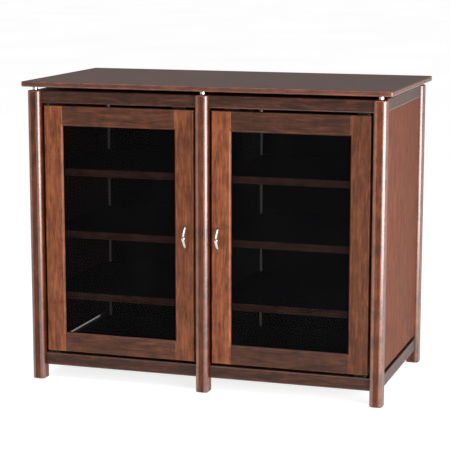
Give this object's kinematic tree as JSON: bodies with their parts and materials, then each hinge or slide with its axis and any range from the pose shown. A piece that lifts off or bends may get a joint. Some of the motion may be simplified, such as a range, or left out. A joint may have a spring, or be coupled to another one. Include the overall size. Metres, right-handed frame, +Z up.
{
  "type": "media cabinet",
  "caption": "Low two-bay cabinet on square round-cornered posts, with a floating top board, adjustable shelves and glazed pivot doors.",
  "frame": {"origin": "on the floor, at the middle of the whole outline in X and Y", "axes": "+X to the right seen from the front, +Y to the back, +Z up; the doors face -Y"},
  "size_m": [1.14, 0.606, 0.92],
  "materials": {
    "cherry_posts": "satin",
    "cherry_rails": "satin",
    "cherry_panels": "satin",
    "cherry_doors": "satin",
    "cherry_top": "semi-gloss",
    "cherry_shelves": "satin",
    "cherry_inside": "satin",
    "brushed_nickel": "brushed",
    "pivot_steel": "black zinc plated",
    "smoked_glass": "polished, smoke tinted",
    "black_vinyl": "matt"
  },
  "bodies": {
    "case": {"post_front_left": "cherry_posts", "post_front_centre": "cherry_posts", "post_front_right": "cherry_posts", "post_rear_left": "cherry_posts", "post_rear_centre": "cherry_posts", "post_rear_right": "cherry_posts", "rail_front_lower_left": "cherry_rails", "rail_front_upper_left": "cherry_rails", "rail_rear_lower_left": "cherry_rails", "rail_rear_upper_left": "cherry_rails", "rail_side_lower_left": "cherry_rails", "rail_side_upper_left": "cherry_rails", "side_panel_left": "cherry_panels", "back_panel_left": "cherry_inside", "shelf_left_lower": "cherry_shelves", "shelf_left_middle": "cherry_shelves", "shelf_left_upper": "cherry_shelves", "rail_front_lower_right": "cherry_rails", "rail_front_upper_right": "cherry_rails", "rail_rear_lower_right": "cherry_rails", "rail_rear_upper_right": "cherry_rails", "rail_side_lower_right": "cherry_rails", "rail_side_upper_right": "cherry_rails", "side_panel_right": "cherry_panels", "back_panel_right": "cherry_inside", "shelf_right_lower": "cherry_shelves", "shelf_right_middle": "cherry_shelves", "shelf_right_upper": "cherry_shelves", "case_bottom": "cherry_inside", "case_top": "cherry_inside", "partition": "cherry_inside", "standoff_front_left": "brushed_nickel", "standoff_front_centre": "brushed_nickel", "standoff_front_right": "brushed_nickel", "standoff_rear_left": "brushed_nickel", "standoff_rear_centre": "brushed_nickel", "standoff_rear_right": "brushed_nickel", "top_panel": "cherry_top", "left_upper_pivot_plate": "pivot_steel", "left_lower_pivot_plate": "pivot_steel", "right_upper_pivot_plate": "pivot_steel", "right_lower_pivot_plate": "pivot_steel"},
    "left_door": {"left_door_hinge_stile": "cherry_doors", "left_door_handle_stile": "cherry_doors", "left_door_top_rail": "cherry_doors", "left_door_bottom_rail": "cherry_doors", "left_door_glass": "smoked_glass", "left_door_glazing_bead": "black_vinyl", "left_door_handle": "brushed_nickel", "left_door_upper_pivot": "pivot_steel", "left_door_lower_pivot": "pivot_steel"},
    "right_door": {"right_door_hinge_stile": "cherry_doors", "right_door_handle_stile": "cherry_doors", "right_door_top_rail": "cherry_doors", "right_door_bottom_rail": "cherry_doors", "right_door_glass": "smoked_glass", "right_door_glazing_bead": "black_vinyl", "right_door_handle": "brushed_nickel", "right_door_upper_pivot": "pivot_steel", "right_door_lower_pivot": "pivot_steel"}
  },
  "joints": [
    {"name": "left_door_hinge", "type": "hinge", "parent": "case", "child": "left_door", "pos_m": [-0.495, -0.259, 0.4685], "axis": [0, 0, -1], "range_deg": [0, 105]},
    {"name": "right_door_hinge", "type": "hinge", "parent": "case", "child": "right_door", "pos_m": [0.495, -0.259, 0.4685], "axis": [0, 0, 1], "range_deg": [0, 105]}
  ]
}
